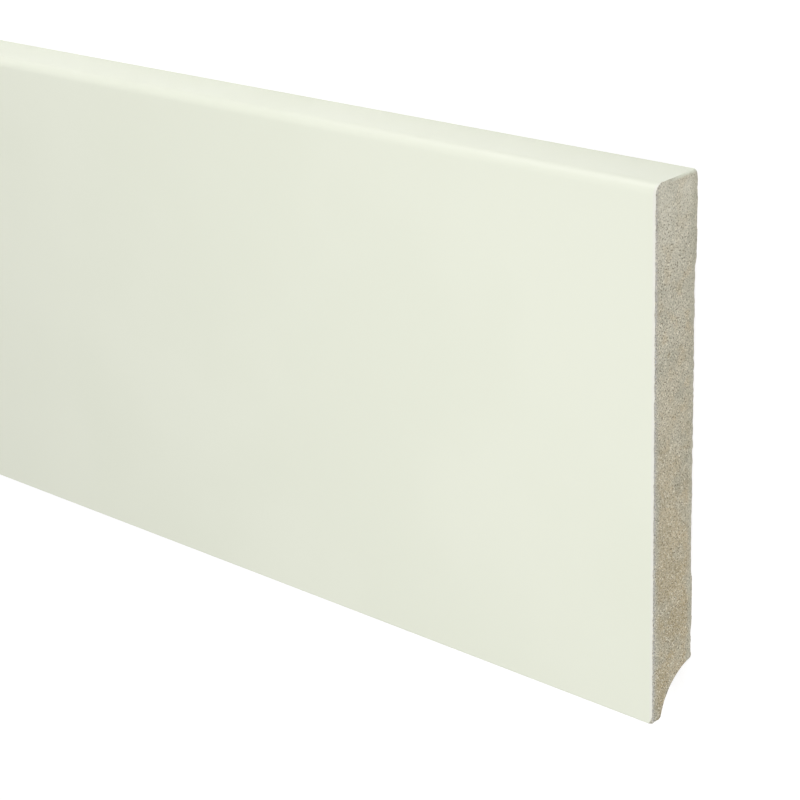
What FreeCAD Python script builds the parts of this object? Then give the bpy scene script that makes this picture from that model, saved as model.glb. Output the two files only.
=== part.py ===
import FreeCAD, Part

# Skirting board length: one strip of MDF, painted on its face, top and floor edge, and raw elsewhere.
# It lies on its back, as it rests when nothing holds it: the painted face looks up along +Z, the length
# runs along X, and the rounded top edge points along +Y. The origin is the middle of the back, on the floor.
# Sizes are in millimetres.

import math
import os

import Sketcher

# Driving dimensions: name, value, what it is.
SIZES = [
    ("board_length", 2400.0, "the length that the board is sold in"),
    ("board_height", 150.0, "floor edge to top edge"),
    ("board_thickness", 18.0, "back to painted face"),
    ("face_round", 3.0, "radius between the face and the top edge"),
    ("back_round", 1.2, "radius between the top edge and the back"),
    ("floor_round", 0.6, "radius between the face and the floor edge"),
    ("relief_height", 13.0, "how far up the back the milled relief reaches"),
    ("relief_hollow", 3.15, "how far the relief is dished below a straight bevel"),
    ("toe_thickness", 4.0, "what the relief leaves of the floor edge"),
    ("toe_round", 0.6, "radius between the floor edge and the relief"),
    ("heel_round", 0.6, "radius between the relief and the back"),
]

NODE = "skirting_board"
PARTS_FOLDER = "parts"
SAME_PLACE = 1e-3

# What a sketch's constraints count on: its origin, its horizontal axis, and the ends of a line or an arc.
ORIGIN = (-1, 1)
HORIZONTAL_AXIS = -1
START, END = 1, 2


def make_size_sheet(document):
    """The spreadsheet of driving dimensions, a row for each, with the alias on the cell of its value."""
    sheet = document.addObject("Spreadsheet::Sheet", "sizes")
    for row, (alias, value, meaning) in enumerate(SIZES, start=1):
        sheet.set(f"A{row}", alias)
        sheet.set(f"B{row}", str(value))
        sheet.set(f"C{row}", meaning)
        sheet.setAlias(f"B{row}", alias)
    document.recompute()
    return sheet


def new_section_sketch(body, name):
    """A sketch across the board: its x runs from floor edge to top edge, and its y from back to face."""
    across = next(plane for plane in body.Origin.OriginFeatures if plane.Role == "YZ_Plane")
    sketch = body.newObject("Sketcher::SketchObject", name)
    sketch.AttachmentSupport = [(across, "")]
    sketch.MapMode = "FlatFace"
    return sketch


def dimension(sketch, name, constraint, expression):
    """Adds a named dimension to a sketch and ties it to the driving dimensions."""
    index = sketch.addConstraint(Sketcher.Constraint(*constraint))
    sketch.renameConstraint(index, name)
    sketch.setExpression(f"Constraints.{name}", expression)


def saw_strip(body, size):
    """The strip as it leaves the rip saw: a plain rectangle, pushed out both ways from mid-length."""
    half, thick = size.board_height / 2, size.board_thickness
    corners = [FreeCAD.Vector(x, y, 0) for x, y in ((-half, 0), (half, 0), (half, thick), (-half, thick))]
    sketch = new_section_sketch(body, "strip_section")
    sides = [sketch.addGeometry(Part.LineSegment(corners[i], corners[(i + 1) % 4])) for i in range(4)]
    for i, side in enumerate(sides):
        sketch.addConstraint(Sketcher.Constraint("Coincident", side, END, sides[(i + 1) % 4], START))
    back, top_edge, face, floor_edge = sides
    for side in (back, face):
        sketch.addConstraint(Sketcher.Constraint("Horizontal", side))
    for side in (top_edge, floor_edge):
        sketch.addConstraint(Sketcher.Constraint("Vertical", side))
    sketch.addConstraint(Sketcher.Constraint("PointOnObject", back, START, HORIZONTAL_AXIS))
    up_the_edge = (top_edge, START, top_edge, END)
    dimension(sketch, "height", ("DistanceX", back, START, back, END, 2 * half), "sizes.board_height")
    dimension(sketch, "above_middle", ("DistanceX", *ORIGIN, back, END, half), "sizes.board_height / 2")
    dimension(sketch, "thickness", ("DistanceY", *up_the_edge, thick), "sizes.board_thickness")

    strip = body.newObject("PartDesign::Pad", "strip")
    strip.Profile = sketch
    strip.SideType = "Symmetric"
    strip.setExpression("Length", "sizes.board_length")
    return strip


def mill_relief(body, size):
    """The hollow behind the floor edge: a round cutter runs the length of the board and leaves a thin toe."""
    half, depth = size.board_height / 2, size.board_thickness - size.toe_thickness
    corner = FreeCAD.Vector(-half, 0, 0)
    on_back = corner + FreeCAD.Vector(size.relief_height, 0, 0)
    on_floor_edge = corner + FreeCAD.Vector(0, depth, 0)
    bevel = on_floor_edge - on_back
    radius = (bevel.Length**2 / 4 + size.relief_hollow**2) / (2 * size.relief_hollow)
    away_from_board = FreeCAD.Vector(-bevel.y, bevel.x, 0).normalize()
    centre = (on_back + on_floor_edge) / 2 + away_from_board * (radius - size.relief_hollow)
    swept = [math.atan2(p.y - centre.y, p.x - centre.x) for p in (on_back, on_floor_edge)]

    sketch = new_section_sketch(body, "relief_section")
    circle = Part.Circle(centre, FreeCAD.Vector(0, 0, 1), radius)
    cutter = sketch.addGeometry(Part.ArcOfCircle(circle, *swept))
    down = sketch.addGeometry(Part.LineSegment(on_floor_edge, corner))
    along = sketch.addGeometry(Part.LineSegment(corner, on_back))
    for one, other in ((cutter, down), (down, along), (along, cutter)):
        sketch.addConstraint(Sketcher.Constraint("Coincident", one, END, other, START))
    sketch.addConstraint(Sketcher.Constraint("Vertical", down))
    sketch.addConstraint(Sketcher.Constraint("Horizontal", along))
    sketch.addConstraint(Sketcher.Constraint("PointOnObject", down, END, HORIZONTAL_AXIS))
    past_toe = "(sizes.board_thickness - sizes.toe_thickness)"
    bevel_squared = f"(sizes.relief_height^2 + {past_toe}^2)"
    cutter_radius = f"({bevel_squared} / 4 + sizes.relief_hollow^2) / (2 * sizes.relief_hollow)"
    up_the_back = ("DistanceX", along, START, along, END, size.relief_height)
    dimension(sketch, "below_middle", ("DistanceX", along, START, *ORIGIN, half), "sizes.board_height / 2")
    dimension(sketch, "up_the_back", up_the_back, "sizes.relief_height")
    dimension(sketch, "past_the_toe", ("DistanceY", down, END, down, START, depth), past_toe)
    dimension(sketch, "radius", ("Radius", cutter, radius), cutter_radius)

    relief = body.newObject("PartDesign::Pocket", "relief")
    relief.Profile = sketch
    relief.Type = "ThroughAll"
    relief.SideType = "Symmetric"
    return relief


def long_edge(shape, y, z):
    """The name of the edge that runs the length of the board at this place in its section."""
    for number, edge in enumerate(shape.Edges, start=1):
        ends = [vertex.Point for vertex in edge.Vertexes]
        if len(ends) == 2 and all(abs(p.y - y) < SAME_PLACE and abs(p.z - z) < SAME_PLACE for p in ends):
            return f"Edge{number}"
    raise RuntimeError(f"no edge runs along the board at y {y}, z {z}")


def round_arris(body, name, y, z, radius_alias):
    """Rounds one long corner of the board."""
    sharp = body.Tip
    arris = body.newObject("PartDesign::Fillet", name)
    arris.Base = (sharp, [long_edge(sharp.Shape, y, z)])
    arris.setExpression("Radius", f"sizes.{radius_alias}")
    body.Document.recompute()
    return arris


def build_board(document, size):
    body = document.addObject("PartDesign::Body", NODE)
    body.Label = NODE
    saw_strip(body, size)
    document.recompute()
    strip_volume = body.Shape.Volume
    mill_relief(body, size)
    document.recompute()
    if body.Shape.Volume >= strip_volume:
        raise RuntimeError("the relief cutter removed nothing")

    top, floor = size.board_height / 2, -size.board_height / 2
    face, back = size.board_thickness, 0
    round_arris(body, "face_arris", top, face, "face_round")
    round_arris(body, "back_arris", top, back, "back_round")
    round_arris(body, "floor_arris", floor, face, "floor_round")
    round_arris(body, "toe_arris", floor, face - size.toe_thickness, "toe_round")
    round_arris(body, "heel_arris", floor + size.relief_height, back, "heel_round")
    return body


def check(document, body):
    document.recompute()
    for item in document.Objects:
        if {"Invalid", "Error"} & set(item.State):
            raise RuntimeError(f"{item.Name} failed: {item.State}")
    if body.Shape.isNull() or not body.Shape.isValid() or len(body.Shape.Solids) != 1:
        raise RuntimeError(f"{body.Label} isn't one valid solid")


document = FreeCAD.newDocument("skirting_board_length")
board = build_board(document, make_size_sheet(document))
check(document, board)
os.makedirs(PARTS_FOLDER, exist_ok=True)
board.Shape.exportStep(f"{PARTS_FOLDER}/{board.Label}.step")
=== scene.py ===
import math

import bpy
import numpy as np
from mathutils import Matrix, Vector, noise


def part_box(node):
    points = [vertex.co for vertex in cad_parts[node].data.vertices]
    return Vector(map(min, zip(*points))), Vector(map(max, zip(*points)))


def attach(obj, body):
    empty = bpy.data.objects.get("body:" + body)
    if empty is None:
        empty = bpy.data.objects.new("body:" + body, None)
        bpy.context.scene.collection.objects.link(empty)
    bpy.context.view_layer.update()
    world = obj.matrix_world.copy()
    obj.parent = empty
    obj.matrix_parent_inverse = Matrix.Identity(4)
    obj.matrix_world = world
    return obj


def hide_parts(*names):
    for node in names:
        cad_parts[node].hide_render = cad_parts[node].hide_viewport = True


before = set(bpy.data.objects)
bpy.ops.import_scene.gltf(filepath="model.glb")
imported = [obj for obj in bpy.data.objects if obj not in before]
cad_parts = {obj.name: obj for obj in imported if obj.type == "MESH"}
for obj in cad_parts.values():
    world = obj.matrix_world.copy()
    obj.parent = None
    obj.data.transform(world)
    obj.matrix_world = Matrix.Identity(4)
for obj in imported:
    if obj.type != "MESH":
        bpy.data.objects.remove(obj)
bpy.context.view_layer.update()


# The board is one strip of MDF. A moulder rounded its top front edge and hollowed out its back along the
# floor edge. Its face, top and floor edge were then sprayed with satin lacquer in a warm white, its back
# was left bare, and a saw cut it to length, so both ends show the inside of the sheet. Sizes are in mm.

MM = 0.001
HALF_LENGTH, HALF_HEIGHT, THICKNESS = (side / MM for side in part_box("skirting_board")[1])

FACE_ROUND = 3.0
BACK_ROUND = 1.2
SMALL_ROUND = 0.6
TOE = 4.0
HOLLOW_HEIGHT = 13.0
HOLLOW_DEPTH = 3.15

# The hollow is an arc from the back to the toe. One small round joins it to the back, at the heel, and
# another joins it to the floor edge, at the toe.
hollow_top = Vector((HOLLOW_HEIGHT - HALF_HEIGHT, 0))
hollow_foot = Vector((-HALF_HEIGHT, THICKNESS - TOE))
bevel = hollow_foot - hollow_top
HOLLOW_RADIUS = (bevel.length_squared / 4 + HOLLOW_DEPTH**2) / (2 * HOLLOW_DEPTH)
off_board = Vector((-bevel.y, bevel.x)).normalized()
HOLLOW_Y, HOLLOW_Z = (hollow_top + hollow_foot) / 2 + off_board * (HOLLOW_RADIUS - HOLLOW_DEPTH)
REACH = HOLLOW_RADIUS + SMALL_ROUND
FLOOR_ROUND_Y = SMALL_ROUND - HALF_HEIGHT
TOE_Z = HOLLOW_Z + math.sqrt(REACH**2 - (FLOOR_ROUND_Y - HOLLOW_Y) ** 2)
HEEL_Y = HOLLOW_Y + math.sqrt(REACH**2 - (SMALL_ROUND - HOLLOW_Z) ** 2)
TOE_END_Y, HOLLOW_END_Y = (
    HOLLOW_Y + HOLLOW_RADIUS / REACH * (y - HOLLOW_Y) for y in (FLOOR_ROUND_Y, HEEL_Y)
)


def arc_z(y, middle_y, middle_z, radius, side):
    """The height of an arc over the back at y, on its upper side (1) or its lower side (-1)."""
    return middle_z + side * np.sqrt(np.maximum(radius**2 - (y - middle_y) ** 2, 0))


def face_z(y):
    """The painted side of the section at y: the flat face between the floor round and the top round."""
    top = HALF_HEIGHT - FACE_ROUND
    rounds = [
        arc_z(y, FLOOR_ROUND_Y, THICKNESS - SMALL_ROUND, SMALL_ROUND, 1),
        arc_z(y, top, THICKNESS - FACE_ROUND, FACE_ROUND, 1),
    ]
    return np.select([y < FLOOR_ROUND_Y, y > top], rounds, THICKNESS)


def back_z(y):
    """The bare side of the section at y: toe, hollow, heel, flat back and the small round at the top."""
    top = HALF_HEIGHT - BACK_ROUND
    parts = [
        arc_z(y, FLOOR_ROUND_Y, TOE_Z, SMALL_ROUND, -1),
        arc_z(y, HOLLOW_Y, HOLLOW_Z, HOLLOW_RADIUS, 1),
        arc_z(y, HEEL_Y, SMALL_ROUND, SMALL_ROUND, -1),
        arc_z(y, top, BACK_ROUND, BACK_ROUND, -1),
    ]
    return np.select([y < TOE_END_Y, y < HOLLOW_END_Y, y < HEEL_Y, y > top], parts, 0)


# The section is a grid of rows from floor edge to top edge and of columns from back to face, as fine as
# the fibres that the saw leaves standing. Its rim runs up the face, across the top, down the back and
# across the floor edge.
GRAIN_STEP = 0.33
COLUMNS = 54
CLOSEST_ROWS = 0.02
FEWEST_STEPS = 6
HOLLOW_SPAN = (12, 82)


def arc_rows(middle_y, radius, first, last):
    """Rows at equal steps round an arc, between two angles from the vertical in degrees."""
    steps = max(FEWEST_STEPS, round(radius * math.radians(last - first) / GRAIN_STEP))
    return middle_y + radius * np.sin(np.radians(np.linspace(first, last, steps + 1)))


rows = np.unique(np.concatenate([
    arc_rows(FLOOR_ROUND_Y, SMALL_ROUND, -90, 0),
    arc_rows(HOLLOW_Y, HOLLOW_RADIUS, *HOLLOW_SPAN),
    arc_rows(HEEL_Y, SMALL_ROUND, -90, 0),
    np.arange(HEEL_Y, HALF_HEIGHT - FACE_ROUND, GRAIN_STEP),
    arc_rows(HALF_HEIGHT - FACE_ROUND, FACE_ROUND, 0, 90),
    arc_rows(HALF_HEIGHT - BACK_ROUND, BACK_ROUND, 0, 90),
]))
rows = rows[np.append(np.diff(rows) > CLOSEST_ROWS, True)]
across = np.linspace(0, 1, COLUMNS)
section_y = np.repeat(rows[:, None], COLUMNS, 1)
section_z = back_z(rows)[:, None] * (1 - across) + face_z(rows)[:, None] * across

grid = np.arange(section_y.size).reshape(section_y.shape)
rim_sides = [grid[:-1, -1], grid[-1, :0:-1], grid[:0:-1, 0], grid[0, :-1]]
rim = np.concatenate(rim_sides)
side_of_rim = np.repeat(np.arange(4), [len(side) for side in rim_sides])
on_face, on_top, on_back, on_floor = (side_of_rim == side for side in range(4))
rim_y, rim_z = section_y.flat[rim], section_z.flat[rim]
rim_run = np.hypot(np.roll(rim_y, -1) - rim_y, np.roll(rim_z, -1) - rim_z)
rim_way = np.stack([np.roll(rim_y, -1) - np.roll(rim_y, 1), np.roll(rim_z, -1) - np.roll(rim_z, 1)], 1)
rim_inward = np.stack([rim_way[:, 1], -rim_way[:, 0]], 1) / np.linalg.norm(rim_way, axis=1)[:, None]


def ramp(value, low, high):
    """0 below low, 1 above high, and smooth between them."""
    part = np.clip((value - low) / (high - low), 0, 1)
    return part * part * (3 - 2 * part)


# All unevenness of the cuts comes from one noise, whose coarse lumps have finer ones on them. Each draw
# takes it at another level, so that no two are alike.
LUMPS_FADE, LUMPS_SHRINK, LUMP_LAYERS = 0.8, 2.0, 3
LUMP_SWING = 0.6
LEVELS_APART = 7.3


def rough(y, z, long, thin, draw):
    """Uneven values of about -1 to 1, in lumps this long up the board and this thin through it."""
    level = LEVELS_APART * draw
    places = (Vector((a, b, level)) for a, b in zip(np.ravel(y) / long, np.ravel(z) / thin))
    found = [noise.fractal(place, LUMPS_FADE, LUMPS_SHRINK, LUMP_LAYERS) for place in places]
    return np.reshape(found, np.shape(y)) / LUMP_SWING


# Handling wears down the arris round each cut end. How deep it is worn, and how far along the board, is a
# usual amount for its kind, and what the coarse and the fine unevenness add to that.
COARSE_LUMPS, FINE_LUMPS = 2.6, 0.8
MILLED_DEPTH, MILLED_LENGTH = (0.36, 0.04, 0.0), (0.35, 0.05, 0.0)
BACK_DEPTH, BACK_LENGTH = (0.10, 0.05, 0.03), (0.30, 0.15, 0.06)
PAINTED_DEPTH, PAINTED_LENGTH = (0.07, 0.08, 0.06), (0.12, 0.07, 0.06)
LEAST_DEPTH, LEAST_LENGTH = 0.02, 0.05

# A saw also tears the arris out where its teeth leave the board. Each entry is one torn or worn place: how
# deep it is, how far it runs along the board, and where it starts and ends, up the bare back or from the
# back across the top edge.
TORN_BACK_RIGHT = [(0.4, 1.2, -35.5, 49.5), (0.22, 0.6, -60.0, -54.0)]
TORN_BACK_LEFT = [(0.35, 0.9, -52.0, -12.0), (0.5, 1.2, 21.0, 66.0)]
WORN_TOP_RIGHT = [(0.38, 0.6, 2.2, 6.0)]
TORN_ENDS_SOFTLY = 2.5
TORN_DEPTH_VARIES, TORN_LENGTH_VARIES = (0.05, 0.0), (0.25, 0.10)

# The lowest corner of the right end's face has lost a flake of paint. The toe is worn under it, and a
# little way up its back and its face: each pair is how high that wear ends and how high it is full, and the
# face has only a share of it. The corner between the same end's top edge and its back has been knocked
# rounder.
FLAKE_HEIGHT, FLAKE_DEPTH, FLAKE_LENGTH = 2.6, 0.2, 1.1
TOE_WEAR, FACE_SHARE = 0.5, 0.3
WORN_UP_BACK, WORN_UP_FACE = (0.9, 0.0), (0.8, 0.1)
KNOCK_REACH, KNOCK_DEPTH, KNOCK_LENGTH = 3.2, 0.38, 0.5


def worn_arris(draw, torn_back, worn_top, knocked):
    """How deep the arris round a cut end is worn, and how far along the board, at each point of the rim."""
    coarse = rough(rim_y, rim_z, COARSE_LUMPS, COARSE_LUMPS, draw)
    fine = rough(rim_y, rim_z, FINE_LUMPS, FINE_LUMPS, draw + 1)

    def uneven(usual, with_coarse, with_fine):
        return usual + with_coarse * coarse + with_fine * fine

    milled = on_back & (rim_y < HEEL_Y)
    kinds = [milled, on_back]
    depth = np.select(kinds, [uneven(*MILLED_DEPTH), uneven(*BACK_DEPTH)], uneven(*PAINTED_DEPTH))
    length = np.select(kinds, [uneven(*MILLED_LENGTH), uneven(*BACK_LENGTH)], uneven(*PAINTED_LENGTH))
    places = [(on_back, rim_y, *torn) for torn in torn_back] + [(on_top, rim_z, *worn) for worn in worn_top]
    for on_side, run, deep, long, first, last in places:
        there = on_side * ramp(run, first - TORN_ENDS_SOFTLY, first)
        there *= ramp(-run, -last - TORN_ENDS_SOFTLY, -last)
        depth += there * uneven(deep, *TORN_DEPTH_VARIES)
        length += there * uneven(long, *TORN_LENGTH_VARIES)
    if knocked:
        up = rim_y + HALF_HEIGHT
        low = np.clip(1 - up / FLAKE_HEIGHT, 0, 1) * on_face
        back_worn, face_worn = (ramp(-up, -high, -full) for high, full in (WORN_UP_BACK, WORN_UP_FACE))
        under = on_floor + on_back * back_worn + FACE_SHARE * on_face * face_worn
        corner = ramp(-np.hypot(HALF_HEIGHT - rim_y, rim_z), -KNOCK_REACH, 0)
        depth += low * FLAKE_DEPTH + under * TOE_WEAR + corner * KNOCK_DEPTH
        length += (low + under) * FLAKE_LENGTH + corner * KNOCK_LENGTH
    return np.maximum(depth, LEAST_DEPTH), np.maximum(length, LEAST_LENGTH)


# MDF is pressed denser and finer at its two faces than in its middle, so a saw leaves the middle rougher:
# each pair below is what there is in the dense skins, and what the soft core adds to it. The saw's teeth
# leave faint arcs round the blade's middle.
DENSE_SKIN, SOFT_CORE = 0.3, 2.2
FIBRE_LUMPS, FIBRES_STAND = (0.8, 0.7), (0.025, 0.05)
PIT_LUMPS, PITS_GO_DOWN = (0.9, 0.8), (0.05, 0.13)
PIT_RIM, PIT_FLOOR = 0.5, 0.9
BLADE_Y, BLADE_Z = -40.0, -118.0
TOOTH_MARKS, TOOTH_MARK_DEPTH = 1.7, 0.012


def cut_depth(y, z, draw):
    """How far each point of a cut end lies behind the highest: standing fibres, pits and tooth marks."""
    core = ramp(np.minimum(z, THICKNESS - z), DENSE_SKIN, SOFT_CORE)
    fibre_height, pit_depth = (in_skin + more * core for in_skin, more in (FIBRES_STAND, PITS_GO_DOWN))
    fibres = rough(y, z, *FIBRE_LUMPS, draw) * fibre_height
    pits = ramp(rough(y, z, *PIT_LUMPS, draw + 2), PIT_RIM, PIT_FLOOR) * pit_depth
    from_blade = np.hypot(y - BLADE_Y, z - BLADE_Z)
    marks = TOOTH_MARK_DEPTH * np.cos(2 * math.pi * from_blade / TOOTH_MARKS)
    depth = fibres + pits + marks
    return depth - depth.min()


# The worn arris lies a little behind the cut. The grid inside follows its rim, so that it is only pressed
# together there, and by less and less away from the top and floor edges.
ARRIS_DROP, ARRIS_DROP_BY_WEAR = 0.03, 0.3
EDGE_FOLLOWS = 1.5


def cut_end(draw, torn_back, worn_top, knocked):
    """A cut end: its depth, y and z over the grid, and how far its worn arris runs round the rim."""
    wear, length = worn_arris(draw, torn_back, worn_top, knocked)
    depth = cut_depth(section_y, section_z, draw)
    depth.flat[rim] += ARRIS_DROP + ARRIS_DROP_BY_WEAR * wear
    shift = np.zeros((section_y.size, 2))
    shift[rim] = rim_inward * wear[:, None]
    shift = shift.reshape(*section_y.shape, 2)
    share = across[None, :, None]
    straight = shift[:, :1] * (1 - share) + shift[:, -1:] * share
    near_top, near_floor = (
        np.exp((side * rows - HALF_HEIGHT) / EDGE_FOLLOWS)[:, None, None] for side in (1, -1)
    )
    top_rest, floor_rest = (shift[row] - straight[row] for row in (-1, 0))
    inside = straight + near_top * top_rest + near_floor * floor_rest
    inside.reshape(-1, 2)[rim] = shift.reshape(-1, 2)[rim]
    return depth, section_y + inside[..., 0], section_z + inside[..., 1], length


# Rings of points join the two ends. The first two stand in the worn arris, at shares of its length and
# depth, the third is the edge of the paint, and the rest lie ever further from the cut, in mm past that
# edge.
ARRIS_SHARES, ARRIS_DEPTHS = (0.5, 1.0), (0.5, 0.08)
PAST_THE_EDGE = (0.14, 0.5, 1.2, 2.6, 5.5, 12.0, 30.0, 80.0, 220.0, 600.0)
EDGE_STRAIGHTENS = 10.0


def rings_of(length):
    """The rings from a cut end to mid-length: how far each is from the end, and its share of the wear."""
    in_arris = [(share * length, kept) for share, kept in zip(ARRIS_SHARES, ARRIS_DEPTHS)]
    return in_arris + [(past + length * max(0, 1 - past / EDGE_STRAIGHTENS), 0.0) for past in PAST_THE_EDGE]


# The right end is at +X and the left one at -X. Each takes its own draws of the unevenness.
RIGHT_DRAW, LEFT_DRAW = 1, 21
ends = [
    (1, *cut_end(RIGHT_DRAW, TORN_BACK_RIGHT, WORN_TOP_RIGHT, True)),
    (-1, *cut_end(LEFT_DRAW, TORN_BACK_LEFT, [], False)),
]
points = [
    np.stack([side * (HALF_LENGTH - depth), y, z], -1).reshape(-1, 3) for side, depth, y, z, _ in ends
]
cap_size = section_y.size
made = 2 * cap_size
rings_by_end = []
for first, (side, _, y, z, length) in zip((0, cap_size), ends):
    rim_shift = np.stack([y.flat[rim] - rim_y, z.flat[rim] - rim_z], 1)
    rings = [rim + first]
    for away, kept in rings_of(length):
        place = np.stack([rim_y, rim_z], 1) + rim_shift * kept
        points.append(np.column_stack([side * (HALF_LENGTH - away) * np.ones(len(rim)), place]))
        rings.append(made + np.arange(len(rim)))
        made += len(rim)
    rings_by_end.append(rings)
all_rings = rings_by_end[0] + rings_by_end[1][::-1]

# This map is for baking the board's colours. The two cut ends get the most room, being the finest,
# and the long sides share the rest, stretched near each end so that the worn arris stays sharp.
MARGIN, CAP_SPAN_U = 0.01, 0.98
CAP_SPAN_V = CAP_SPAN_U * THICKNESS / (2 * HALF_HEIGHT)
CAP_V = (MARGIN, 2 * MARGIN + CAP_SPAN_V)
SIDES_V = 3 * MARGIN + 2 * CAP_SPAN_V
SIDES_SPAN_V = 1 - MARGIN - SIDES_V
NEAR_END, NEAR_END_U = 12.0, 0.10
ARRIS_ON_MAP = (0.0, 0.15, 0.3)


def map_u(away):
    """Where a ring this far from its end lies on the map, counted from that end."""
    if away < NEAR_END:
        return NEAR_END_U * math.sqrt(away / NEAR_END)
    return NEAR_END_U + (CAP_SPAN_U - 2 * NEAR_END_U) * (away - NEAR_END) / (2 * (HALF_LENGTH - NEAR_END))


nominal = list(ARRIS_ON_MAP) + [ARRIS_ON_MAP[-1] + past for past in PAST_THE_EDGE]
right_u = [MARGIN + map_u(away) for away in nominal]
ring_u = right_u + [1 - u for u in reversed(right_u)]
rim_v = SIDES_V + SIDES_SPAN_V * np.append(0, np.cumsum(rim_run)) / rim_run.sum()

PAINTED, SAWN, BARE = range(3)
faces, corners, finishes = [], [], []
quads = np.stack([grid[:-1, :-1], grid[1:, :-1], grid[1:, 1:], grid[:-1, 1:]], -1).reshape(-1, 4)
cap_map = np.stack([
    MARGIN + CAP_SPAN_U * (section_y + HALF_HEIGHT) / (2 * HALF_HEIGHT),
    CAP_SPAN_V * section_z / THICKNESS,
], -1).reshape(-1, 2)
for first, v, order in ((0, CAP_V[0], quads), (cap_size, CAP_V[1], quads[:, ::-1])):
    faces.append(order + first)
    corners.append(cap_map[order] + (0, v))
    finishes.append(np.full(len(order), SAWN))

# Paint covers the face, the top and the floor edge, and runs a little way round onto the back. Along the
# top edge it is so thick that it stays on the worn arris of the cut ends.
PAINT_ROUND_TOP = 0.55
bare_side = on_back & (rim_y < HALF_HEIGHT - PAINT_ROUND_TOP) & (rim_y > TOE_END_Y)
arris_finish = np.where(on_top, PAINTED, SAWN)
side_finish = np.where(bare_side, BARE, PAINTED)
here = np.arange(len(rim))
after = np.roll(here, -1)
for k, (near, far) in enumerate(zip(all_rings, all_rings[1:])):
    faces.append(np.stack([near[here], near[after], far[after], far[here]], 1))
    near_u, far_u = ring_u[k:k + 2]
    square = ((near_u, rim_v[:-1]), (near_u, rim_v[1:]), (far_u, rim_v[1:]), (far_u, rim_v[:-1]))
    corners.append(np.stack([np.stack([np.full(len(rim), u), v], 1) for u, v in square], 1))
    in_arris = min(k, len(all_rings) - 2 - k) < len(ARRIS_SHARES)
    finishes.append(arris_finish if in_arris else side_finish)

# The mesh also keeps how far below the face each point of a cut end lies, for the grey line of primer that
# follows the face there. The rest of the board is off the cut.
SHARP_TURN = math.radians(40)
OFF_THE_CUT, ON_THE_CUT = -1.0, (-0.1, 0.0)

points = np.concatenate(points) * MM
faces, corners, finishes = np.concatenate(faces), np.concatenate(corners), np.concatenate(finishes)
mesh = bpy.data.meshes.new("skirting_board_length")
mesh.from_pydata(points.tolist(), [], faces.tolist())
mesh.polygons.foreach_set("material_index", finishes)
mesh.uv_layers.new(name="OFBake").uv.foreach_set("vector", corners.reshape(-1))
mesh.shade_smooth()
mesh.set_sharp_from_angle(angle=SHARP_TURN)
below_face = np.full(len(points), OFF_THE_CUT)
below_face[:cap_size] = below_face[cap_size:2 * cap_size] = (face_z(section_y) - section_z).ravel()
mesh.attributes.new("from_face", "FLOAT", "POINT").data.foreach_set("value", below_face)
board = bpy.data.objects.new("skirting_board_length", mesh)
bpy.context.scene.collection.objects.link(board)


def add(tree, kind, inputs=None, **settings):
    """A new node. inputs gives its sockets a value each, or another node's socket to link to."""
    node = tree.nodes.new("ShaderNode" + kind)
    for name, value in settings.items():
        setattr(node, name, value)
    for name, value in (inputs or {}).items():
        if isinstance(value, bpy.types.NodeSocket):
            tree.links.new(value, node.inputs[name])
        else:
            node.inputs[name].default_value = value
    return node


def worked(tree, operation, *values):
    """The socket of a number worked out from one or two others."""
    return add(tree, "Math", dict(enumerate(values)), operation=operation).outputs[0]


def stretched(tree, vector, factors):
    """The socket of a vector with each of its three parts multiplied."""
    return add(tree, "VectorMath", {0: vector, 1: factors}, operation="MULTIPLY").outputs[0]


def blend(tree, share, one, other, kind="MIX"):
    """The socket of a colour that goes from one to the other with share."""
    return add(tree, "Mix", {0: share, 6: one, 7: other}, data_type="RGBA", blend_type=kind).outputs[2]


def eased(tree, value, low, high, to_low=0.0, to_high=1.0):
    """The socket of a value that is taken smoothly from low..high to to_low..to_high."""
    inputs = {"Value": value, "From Min": low, "From Max": high, "To Min": to_low, "To Max": to_high}
    return add(tree, "MapRange", inputs, interpolation_type="SMOOTHSTEP").outputs["Result"]


def noise_at(tree, place, size, detail=2.0, roughness=0.5):
    """The socket of a noise with lumps of this size in mm. A window of its values picks out its patches."""
    inputs = {"Vector": place, "Scale": 1 / size, "Detail": detail, "Roughness": roughness}
    return add(tree, "TexNoise", inputs).outputs["Fac"]


def place_in_mm(tree):
    """The socket of a point's place on the board, in mm, and those of its X, Y and Z."""
    place = stretched(tree, add(tree, "TexCoord").outputs["Object"], (1 / MM,) * 3)
    return place, add(tree, "SeparateXYZ", {0: place}).outputs


def new_finish(name, inputs):
    """A material with one Principled shader, whose plain values are set on it."""
    material = bpy.data.materials.new(name)
    material.use_nodes = True
    shader = material.node_tree.nodes["Principled BSDF"]
    for socket, value in inputs.items():
        shader.inputs[socket].default_value = value
    board.data.materials.append(material)
    return material.node_tree, shader


def raise_surface(tree, shader, height, distance):
    """Feeds a shader a bump, which is as high as this distance in mm where the height is 1."""
    bump = add(tree, "Bump", {"Height": height, "Distance": distance * MM, "Strength": 1.0})
    tree.links.new(bump.outputs[0], shader.inputs["Normal"])


def new_effect(name, inputs, outputs):
    """An empty shader node group. Its sockets are names with their kinds, and inputs have a first value."""
    group = bpy.data.node_groups.new(name, "ShaderNodeTree")
    for socket, kind, value in inputs:
        made_socket = group.interface.new_socket(socket, in_out="INPUT", socket_type="NodeSocket" + kind)
        if value is not None:
            made_socket.default_value = value
    for socket, kind in outputs:
        group.interface.new_socket(socket, in_out="OUTPUT", socket_type="NodeSocket" + kind)
    return group, group.nodes.new("NodeGroupInput").outputs, group.nodes.new("NodeGroupOutput").inputs
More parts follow.
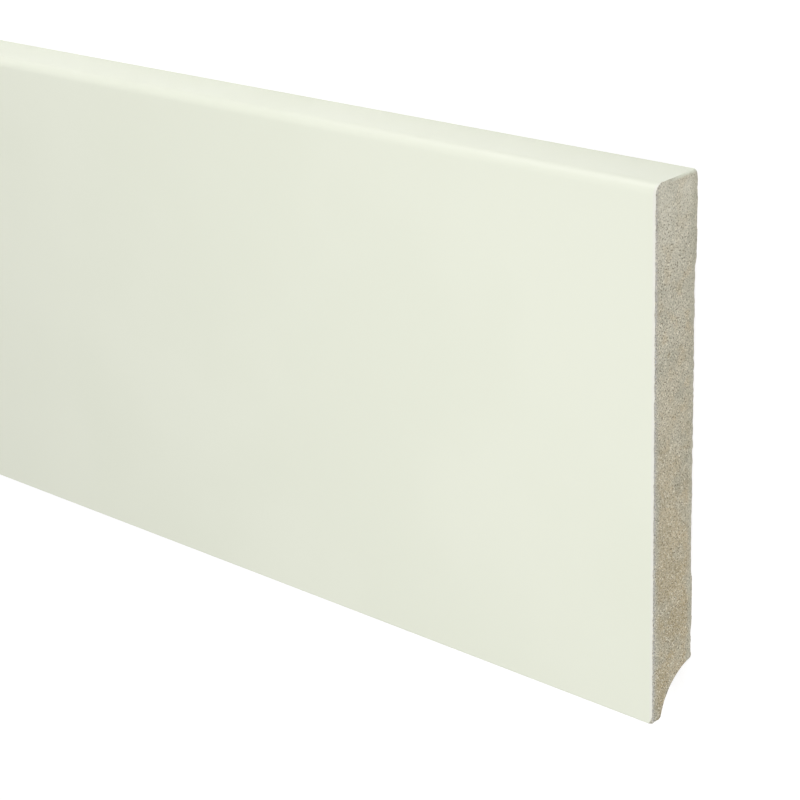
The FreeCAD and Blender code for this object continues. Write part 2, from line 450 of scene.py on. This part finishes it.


# Wood fibre glued into a board: pale flecks and dark pits, a little flattened into the plane of the sheet.
# The dark of the pits is partly darker fibre and partly painted shade, as the bump also sinks them.
# Flecks and pits come from the same noise, taken far enough apart that they don't match.
FLATTENED, PITS_APART = (0.8, 0.9, 1.3), (31.0, 17.0, 5.0)
FLECK_SIZE, PIT_SIZE, FIBRE_ROUGHNESS = 1.0, 1.05, 0.6
FLECK_WINDOW, PIT_WINDOW = (0.50, 0.66), (0.51, 0.67)

fibre_effect, given, gives = new_effect(
    "mdf_fibre",
    [("Place", "Vector", None), ("Size", "Float", 0.5), ("Flecks", "Float", 0.5), ("Pits", "Float", 0.5)],
    [("Light", "Float"), ("Dark", "Float"), ("Height", "Float")],
)
flat_place = stretched(fibre_effect, given["Place"], FLATTENED)
sized = add(fibre_effect, "VectorMath", {0: flat_place}, operation="SCALE")
fibre_effect.links.new(worked(fibre_effect, "DIVIDE", 1.0, given["Size"]), sized.inputs["Scale"])
moved = add(fibre_effect, "VectorMath", {0: sized.outputs[0], 1: PITS_APART}, operation="ADD")
fleck_noise = noise_at(fibre_effect, sized.outputs[0], FLECK_SIZE, roughness=FIBRE_ROUGHNESS)
pit_noise = noise_at(fibre_effect, moved.outputs[0], PIT_SIZE, roughness=FIBRE_ROUGHNESS)
light = worked(fibre_effect, "MULTIPLY", eased(fibre_effect, fleck_noise, *FLECK_WINDOW), given["Flecks"])
dark = worked(fibre_effect, "MULTIPLY", eased(fibre_effect, pit_noise, *PIT_WINDOW), given["Pits"])
height = worked(fibre_effect, "SUBTRACT", light, dark)
for socket, value in (("Light", light), ("Dark", dark), ("Height", height)):
    fibre_effect.links.new(value, gives[socket])


# Satin lacquer, sprayed: a fine orange peel, a gloss that wanders a little, and a paler, greyer line along
# the saw cut, which fades out round the top and floor edges. That line is partly scuffed paint at the cut
# and partly a painted highlight, where the worn edge of the paint catches the light.
LACQUER = (0.815, 0.839, 0.716, 1)
LACQUER_THICK = (0.800, 0.826, 0.700, 1)
SCUFFED_EDGE_AND_HIGHLIGHT = (0.822, 0.818, 0.738, 1)
THICK_PATCH, THICK_WINDOW = 60.0, (0.35, 0.65)
GLOSS_PATCH, GLOSS_WINDOW = 18.0, (0.3, 0.7)
GLOSSIEST, DULLEST = 0.28, 0.36
PEEL, PEEL_HEIGHT = 1.6, 0.01
EDGE_FROM_CUT, EDGE_FROM_FACE = (1.3, 0.5), (3.0, 0.2)

tree, shader = new_finish("satin_lacquer", {})
place, along = place_in_mm(tree)
thick = eased(tree, noise_at(tree, place, THICK_PATCH), *THICK_WINDOW)
colour = blend(tree, thick, LACQUER, LACQUER_THICK)
from_middle = worked(tree, "ABSOLUTE", along["X"])
at_cut = eased(tree, from_middle, *(HALF_LENGTH - away for away in EDGE_FROM_CUT))
at_face = eased(tree, along["Z"], *(THICKNESS - away for away in EDGE_FROM_FACE))
# The line along the cut: partly scuffed paint, partly a painted highlight of the worn paint edge.
colour = blend(tree, worked(tree, "MULTIPLY", at_cut, at_face), colour, SCUFFED_EDGE_AND_HIGHLIGHT)
tree.links.new(colour, shader.inputs["Base Color"])
roughness = eased(tree, noise_at(tree, place, GLOSS_PATCH), *GLOSS_WINDOW, GLOSSIEST, DULLEST)
tree.links.new(roughness, shader.inputs["Roughness"])
raise_surface(tree, shader, noise_at(tree, place, PEEL), PEEL_HEIGHT)


# The sawn end. The core is a brown-grey mix of fibres, brownest low down and greyer at the top edge and in
# the dense skins, with ochre and dull patches. The cut edge of primer and paint tints the first
# millimetres under the face a cool grey, and below the top edge the saw has dragged a thin smear of the
# paint down over the cut. Places up the board are counted from its middle.
CORE_LOW = (0.588, 0.496, 0.325, 1)
CORE_MIDDLE = (0.597, 0.545, 0.413, 1)
CORE_TOP = (0.695, 0.670, 0.560, 1)
LOW_TO_MIDDLE, MIDDLE_TO_TOP = (-55.0, 30.0), (-10.0, 80.0)
SKIN = (0.597, 0.576, 0.469, 1)
SKIN_PATCH, SKIN_WINDOW, SKIN_SHARE = 9.0, (0.35, 0.50), 0.6
SKIN_ENDS, SKIN_WANDERS, WANDER_WINDOW = (0.9, 3.6), 1.2, (0.2, 0.8)
OCHRE = (0.625, 0.540, 0.380, 1)
OCHRE_PATCH, OCHRE_WINDOW, OCHRE_SHARE = 5.0, (0.50, 0.65), 0.8
OCHRE_FADES, OCHRE_AT_TOP = (30.0, 68.0), 0.35
DULL = (0.780, 0.790, 0.780, 1)
DULL_PATCH, DULL_WINDOW, DULL_SHARE = 7.0, (0.42, 0.62), 0.55
PAINT_LINE, LINE_REACH, LINE_SHARE = (0.530, 0.520, 0.535, 1), 1.8, 0.7
PAINT_CUT, CUT_REACH, CUT_SHARE = (0.640, 0.640, 0.630, 1), 0.75, 0.8
PAINT_STARTS = 0.1
PAINT_BREAK, BREAK_WINDOW, BREAK_SHARE = 3.0, (0.3, 0.6), 0.6
PAINT_FADES, PAINT_AT_TOP = (50.0, 72.0), 0.6
FIBRE_SIZE, FIBRE_HEIGHT = 0.42, 0.06
FLECK, PIT_FIBRE_AND_SHADE = (0.92, 0.87, 0.72, 1), (0.21, 0.18, 0.12, 1)
BACK_IS_FINER, TOP_IS_FINER, FINER_TOP = 0.3, 0.35, (60.0, 74.0)
SMEAR_BELOW_TOP, SMEAR_FROM_BACK, SMEAR_SHARE = (0.4, 1.25), (8.0, 13.0), 0.75

tree, shader = new_finish("sawn_mdf", {"Roughness": 0.9, "Specular IOR Level": 0.25})
place, along = place_in_mm(tree)
patches = noise_at(tree, place, SKIN_PATCH, detail=3.0)
core = blend(tree, eased(tree, along["Y"], *LOW_TO_MIDDLE), CORE_LOW, CORE_MIDDLE)
core = blend(tree, eased(tree, along["Y"], *MIDDLE_TO_TOP), core, CORE_TOP)
core = blend(tree, eased(tree, patches, *SKIN_WINDOW, SKIN_SHARE, 0.0), core, SKIN)
ochre = eased(tree, noise_at(tree, place, OCHRE_PATCH), *OCHRE_WINDOW, 0.0, OCHRE_SHARE)
ochre = worked(tree, "MULTIPLY", ochre, eased(tree, along["Y"], *OCHRE_FADES, 1.0, OCHRE_AT_TOP))
core = blend(tree, ochre, core, OCHRE)

wander = eased(tree, patches, *WANDER_WINDOW, -SKIN_WANDERS, SKIN_WANDERS)
from_front = worked(tree, "SUBTRACT", THICKNESS, along["Z"])
by_face, by_back = (
    eased(tree, worked(tree, "ADD", away, wander), *SKIN_ENDS, 1.0, 0.0)
    for away in (from_front, along["Z"])
)
colour = blend(tree, worked(tree, "MAXIMUM", by_face, by_back), core, SKIN)
dull = eased(tree, noise_at(tree, place, DULL_PATCH), *DULL_WINDOW, 0.0, DULL_SHARE)
colour = blend(tree, dull, colour, DULL, "MULTIPLY")

from_face = add(tree, "Attribute", attribute_name="from_face").outputs["Fac"]
on_the_cut = eased(tree, from_face, *ON_THE_CUT)
broken = eased(tree, noise_at(tree, place, PAINT_BREAK), *BREAK_WINDOW, BREAK_SHARE, 1.0)
fainter = worked(tree, "MULTIPLY", broken, eased(tree, along["Y"], *PAINT_FADES, 1.0, PAINT_AT_TOP))
for paint, reach, share in ((PAINT_LINE, LINE_REACH, LINE_SHARE), (PAINT_CUT, CUT_REACH, CUT_SHARE)):
    line = worked(tree, "MULTIPLY", eased(tree, from_face, PAINT_STARTS, reach, share, 0.0), fainter)
    colour = blend(tree, worked(tree, "MULTIPLY", line, on_the_cut), colour, paint)

calm = worked(tree, "MULTIPLY", by_back, BACK_IS_FINER)
calm = worked(tree, "MAXIMUM", calm, eased(tree, along["Y"], *FINER_TOP, 0.0, TOP_IS_FINER))
amount = worked(tree, "SUBTRACT", 1.0, calm)
fibre_inputs = {"Place": place, "Size": FIBRE_SIZE, "Flecks": amount, "Pits": amount}
fibres = add(tree, "Group", fibre_inputs, node_tree=fibre_effect)
colour = blend(tree, fibres.outputs["Light"], colour, FLECK)
# The pits are darkened with partly darker fibre and partly painted shade in them.
colour = blend(tree, fibres.outputs["Dark"], colour, PIT_FIBRE_AND_SHADE)

below_top = worked(tree, "SUBTRACT", HALF_HEIGHT, along["Y"])
smear = worked(tree, "MULTIPLY", eased(tree, below_top, *SMEAR_BELOW_TOP, SMEAR_SHARE, 0.0),
               eased(tree, along["Z"], *SMEAR_FROM_BACK, 1.0, 0.0))
colour = blend(tree, smear, colour, LACQUER)
tree.links.new(colour, shader.inputs["Base Color"])
raise_surface(tree, shader, fibres.outputs["Height"], FIBRE_HEIGHT)


# Bare MDF on the back and in the hollow. The back is sanded, with fine lines along the board, and the
# cutter has left ripples across the hollow. Next to the painted edges both are dusted with overspray.
BACK, BACK_DARK = (0.50, 0.44, 0.33, 1), (0.44, 0.38, 0.275, 1)
BACK_PATCH, BACK_WINDOW, BACK_RELIEF = 25.0, (0.35, 0.65), 0.03
BACK_FIBRE_SIZE, BACK_FLECKS, BACK_PITS = 0.5, 0.25, 0.22
SCRATCH, SCRATCH_WIDTH, SCRATCH_RUNS_ON = (0.58, 0.52, 0.41, 1), 0.7, 0.012
SCRATCH_WINDOW, SCRATCH_SHARE = (0.52, 0.68), 0.55
HOLLOW_BEGINS = (0.1, 0.8)
RIPPLE, RIPPLE_SHARE = 2.2, 0.3
MIST_FADES, MIST_SHARE = (-1.0, 9.0), 0.9
DRIFT_PATCH, DRIFT_WINDOW, MIST_DRIFTS = 30.0, (0.3, 0.7), (-1.0, 2.0)
DROP, DROP_WINDOW, DROP_SHARES = 0.3, (0.35, 0.65), (0.35, 0.9)

tree, shader = new_finish("bare_mdf", {"Roughness": 0.8, "Specular IOR Level": 0.3})
place, along = place_in_mm(tree)
patches = noise_at(tree, place, BACK_PATCH, detail=3.0)
colour = blend(tree, eased(tree, patches, *BACK_WINDOW), BACK, BACK_DARK)
sanding = noise_at(tree, stretched(tree, place, (SCRATCH_RUNS_ON, 1.0, 1.0)), SCRATCH_WIDTH, detail=3.0)
in_hollow = eased(tree, along["Z"], *HOLLOW_BEGINS)
on_back_flat = worked(tree, "SUBTRACT", 1.0, in_hollow)
scratches = eased(tree, sanding, *SCRATCH_WINDOW, 0.0, SCRATCH_SHARE)
scratches = worked(tree, "MULTIPLY", scratches, on_back_flat)
colour = blend(tree, scratches, colour, SCRATCH)
fibre_inputs = {"Place": place, "Size": BACK_FIBRE_SIZE, "Flecks": BACK_FLECKS, "Pits": BACK_PITS}
fibres = add(tree, "Group", fibre_inputs, node_tree=fibre_effect)
colour = blend(tree, fibres.outputs["Light"], colour, FLECK)
# The pits are darkened with partly darker fibre and partly painted shade in them.
colour = blend(tree, fibres.outputs["Dark"], colour, PIT_FIBRE_AND_SHADE)

from_top, from_floor = (worked(tree, how, HALF_HEIGHT, along["Y"]) for how in ("SUBTRACT", "ADD"))
from_painted = worked(tree, "MINIMUM", from_top, from_floor)
drift = eased(tree, noise_at(tree, place, DRIFT_PATCH), *DRIFT_WINDOW, *MIST_DRIFTS)
mist = eased(tree, worked(tree, "ADD", from_painted, drift), *MIST_FADES, MIST_SHARE, 0.0)
drops = eased(tree, noise_at(tree, place, DROP), *DROP_WINDOW, *DROP_SHARES)
colour = blend(tree, worked(tree, "MULTIPLY", mist, drops), colour, LACQUER)
tree.links.new(colour, shader.inputs["Base Color"])

wave = worked(tree, "SINE", worked(tree, "MULTIPLY", along["X"], 2 * math.pi / RIPPLE))
ripples = worked(tree, "MULTIPLY", wave, worked(tree, "MULTIPLY", in_hollow, RIPPLE_SHARE))
relief = worked(tree, "ADD", fibres.outputs["Height"], worked(tree, "ADD", ripples, scratches))
raise_surface(tree, shader, relief, BACK_RELIEF)

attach(board, "root")
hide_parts("skirting_board")


# The studio: a white floor that the board lies on, and a white room round it. The camera sees the floor
# almost evenly white, with a share of its real light left in it so that it keeps the board's shadow.
FLOOR_SIDE = 12.0
FLOOR_WHITE, FLOOR_SEEN, FLOOR_GLOW = 0.9, 0.30, 0.825
WHITE = (1, 1, 1, 1)

floor_mesh = bpy.data.meshes.new("studio_floor")
corner = FLOOR_SIDE / 2
floor_corners = [(-corner, -corner, 0), (corner, -corner, 0), (corner, corner, 0), (-corner, corner, 0)]
floor_mesh.from_pydata(floor_corners, [], [(0, 1, 2, 3)])
floor = bpy.data.objects.new("studio_floor", floor_mesh)
bpy.context.scene.collection.objects.link(floor)
material = bpy.data.materials.new("studio_floor")
material.use_nodes = True
tree = material.node_tree
matt = tree.nodes["Principled BSDF"]
matt.inputs["Roughness"].default_value = 1.0
matt.inputs["Specular IOR Level"].default_value = 0.0
matt.inputs["Emission Color"].default_value = WHITE
seen = add(tree, "LightPath").outputs["Is Camera Ray"]
lit, shown = ((shade, shade, shade, 1) for shade in (FLOOR_WHITE, FLOOR_SEEN))
tree.links.new(blend(tree, seen, lit, shown), matt.inputs["Base Color"])
tree.links.new(worked(tree, "MULTIPLY", seen, FLOOR_GLOW), matt.inputs["Emission Strength"])
floor_mesh.materials.append(material)

AMBIENT = 0.60
world = bpy.data.worlds.new("studio")
bpy.context.scene.world = world
world.use_nodes = True
tree = world.node_tree
ambient = tree.nodes["Background"]
ambient.inputs["Color"].default_value = WHITE
ambient.inputs["Strength"].default_value = AMBIENT
backdrop = add(tree, "Background", {"Color": WHITE, "Strength": 1.0})
seen = add(tree, "LightPath").outputs["Is Camera Ray"]
mixed = add(tree, "MixShader", {0: seen, 1: ambient.outputs[0], 2: backdrop.outputs[0]})
tree.links.new(mixed.outputs[0], tree.nodes["World Output"].inputs["Surface"])

# Each lamp: its name, its place, the point it faces, its width and height, and its power in watts.
LAMPS = [
    ("lamp_over_end", (1.2, 0.0, 0.32), (1.2, 0.0, 0.0), 0.25, 0.25, 0.227),
    ("lamp_by_top_edge", (1.0, 0.42, 0.22), (1.0, 0.0, 0.0), 0.3, 0.2, 0.41),
    ("lamp_low_by_top_edge", (0.8, 0.6, 0.06), (1.0, 0.07, 0.015), 0.3, 0.06, 0.315),
    ("lamp_right_end", (1.85, 0.0, 0.22), (1.2, 0.0, 0.0), 0.3, 0.2, 0.33),
    ("lamp_high", (1.4, 0.0, 0.8), (1.1, 0.0, 0.0), 0.5, 0.5, 0.97),
    ("lamp_between", (0.42, 0.3, 0.18), (0.42, 0.0, 0.018), 0.35, 0.12, 0.335),
    ("lamp_along_board", (-0.5, 0.3, 0.42), (-0.5, 0.0, 0.0), 1.6, 0.25, 2.035),
    ("lamp_left_end", (-1.85, -0.3, 0.25), (-1.2, 0.0, 0.0), 0.3, 0.2, 0.8),
]
# The two lamps by the top edge make the soft highlight along its round. The others are kept out of the
# lacquer's gloss, because they would glare off the face at a low angle.
SHINING = ("lamp_by_top_edge", "lamp_low_by_top_edge")
for name, spot, aim, width, height, power in LAMPS:
    lamp = bpy.data.lights.new(name, "AREA")
    lamp.shape, lamp.size, lamp.size_y, lamp.energy = "RECTANGLE", width, height, power
    stand = bpy.data.objects.new(name, lamp)
    stand.location = spot
    stand.rotation_mode = "QUATERNION"
    stand.rotation_quaternion = (Vector(aim) - Vector(spot)).to_track_quat("-Z", "Y")
    stand.visible_camera = False
    stand.visible_glossy = name in SHINING
    bpy.context.scene.collection.objects.link(stand)

# The camera looks down at the right end from above its top edge, with a long lens.
CAMERA_PLACE = Vector((1.49448, 0.22327, 0.43393))
CAMERA_AIM = Vector((1.11335, -0.00168, 0.01811))
CAMERA_ROLL = -2.2745
LENS, SENSOR = 97.656, 36.0
lens = bpy.data.cameras.new("photo_view")
lens.lens, lens.sensor_width = LENS, SENSOR
camera = bpy.data.objects.new("photo_view", lens)
backward = (CAMERA_PLACE - CAMERA_AIM).normalized()
right = Vector((0, 1, 0)).cross(backward).normalized()
turn = Matrix((right, backward.cross(right), backward)).transposed()
camera.rotation_mode = "QUATERNION"
camera.rotation_quaternion = (turn @ Matrix.Rotation(math.radians(CAMERA_ROLL), 3, "Z")).to_quaternion()
camera.location = CAMERA_PLACE
bpy.context.scene.collection.objects.link(camera)
bpy.context.scene.camera = camera
bpy.context.scene.view_settings.view_transform = "Standard"
